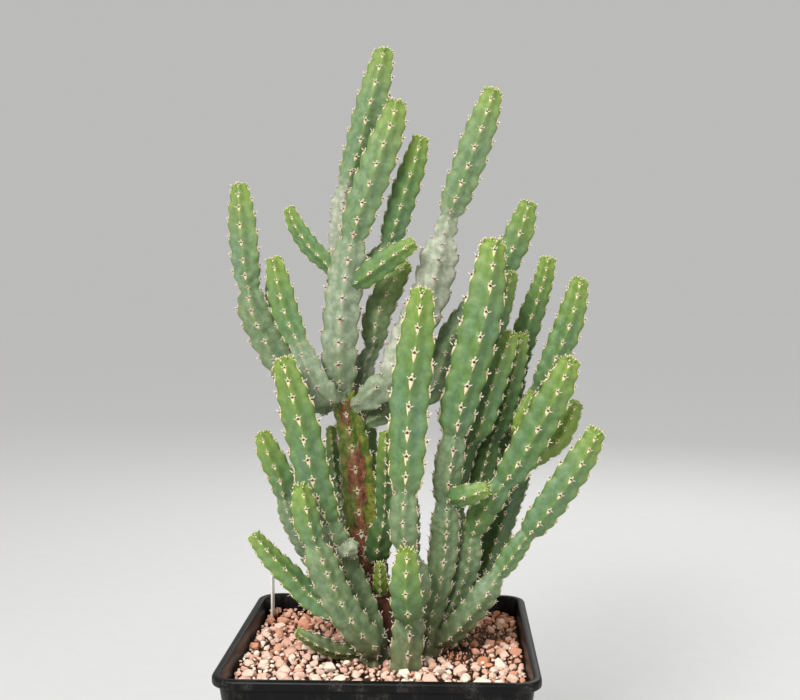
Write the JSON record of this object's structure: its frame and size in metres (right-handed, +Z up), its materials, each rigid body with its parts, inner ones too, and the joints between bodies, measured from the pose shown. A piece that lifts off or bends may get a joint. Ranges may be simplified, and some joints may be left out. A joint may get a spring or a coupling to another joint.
{
  "type": "potted euphorbia",
  "caption": "Cactus-like euphorbia with upright ribbed stems, in a square black nursery pot topped with pinkish gravel, with a blank stake label.",
  "frame": {"origin": "middle of the pot's flat underside", "axes": "+Z up along the plant's height, the front of the plant faces -Y, +X to the viewer's right"},
  "size_m": [0.1895, 0.154, 0.4321],
  "materials": {
    "pot_plastic": "satin black moulded plastic",
    "soil": "loose dark potting soil",
    "pumice_gravel": "rough pinkish pumice",
    "label_plastic": "thin white plastic",
    "stem_old": "waxy green skin, corky in places",
    "stem_grown": "waxy green skin",
    "stem_young": "waxy yellow-green skin"
  },
  "bodies": {
    "root": {"pot": "pot_plastic", "potting_soil": "soil", "gravel_top_dressing": "pumice_gravel", "plant_label": "label_plastic", "trunk": "stem_old", "stem_centre": "stem_grown", "stem_tallest": "stem_grown", "stem_centre_left_arm": "stem_grown", "stem_centre_right_arm": "stem_grown", "stem_centre_back_arm": "stem_grown", "stem_crown_right": "stem_grown", "stem_right_tall": "stem_grown", "stem_right_back": "stem_grown", "stem_trunk_front": "stem_grown", "stem_trunk_bud": "stem_young", "stem_front_tall": "stem_grown", "stem_front_short": "stem_grown", "stem_right_front": "stem_grown", "stem_right_front_knob": "stem_grown", "stem_right_inner": "stem_grown", "stem_right_middle": "stem_grown", "stem_right_lean": "stem_grown", "stem_right_second": "stem_grown", "stem_right_low": "stem_grown", "stem_right_rear": "stem_grown", "stem_far_right_inner": "stem_grown", "stem_far_right": "stem_grown", "stem_far_right_bud": "stem_young", "stem_left_front": "stem_grown", "stem_left_stub": "stem_old", "stem_left_low_front": "stem_grown", "stem_left_spreading": "stem_grown", "stem_left_ground": "stem_grown", "stem_left_middle": "stem_grown", "stem_left_tall": "stem_grown", "stem_left_inner": "stem_grown", "stem_behind_trunk_left": "stem_grown", "stem_behind_trunk": "stem_grown", "stem_rear_centre": "stem_grown", "stem_rear_front_right": "stem_grown", "stem_rear_right": "stem_grown", "stem_rear_far_right": "stem_grown", "stem_rear_left": "stem_grown", "stem_rear_low": "stem_grown", "stem_rear_low_right": "stem_grown", "stem_rear_crown": "stem_grown", "stem_rear_far_left": "stem_grown", "stem_rear_outer_right": "stem_grown"}
  },
  "joints": []
}
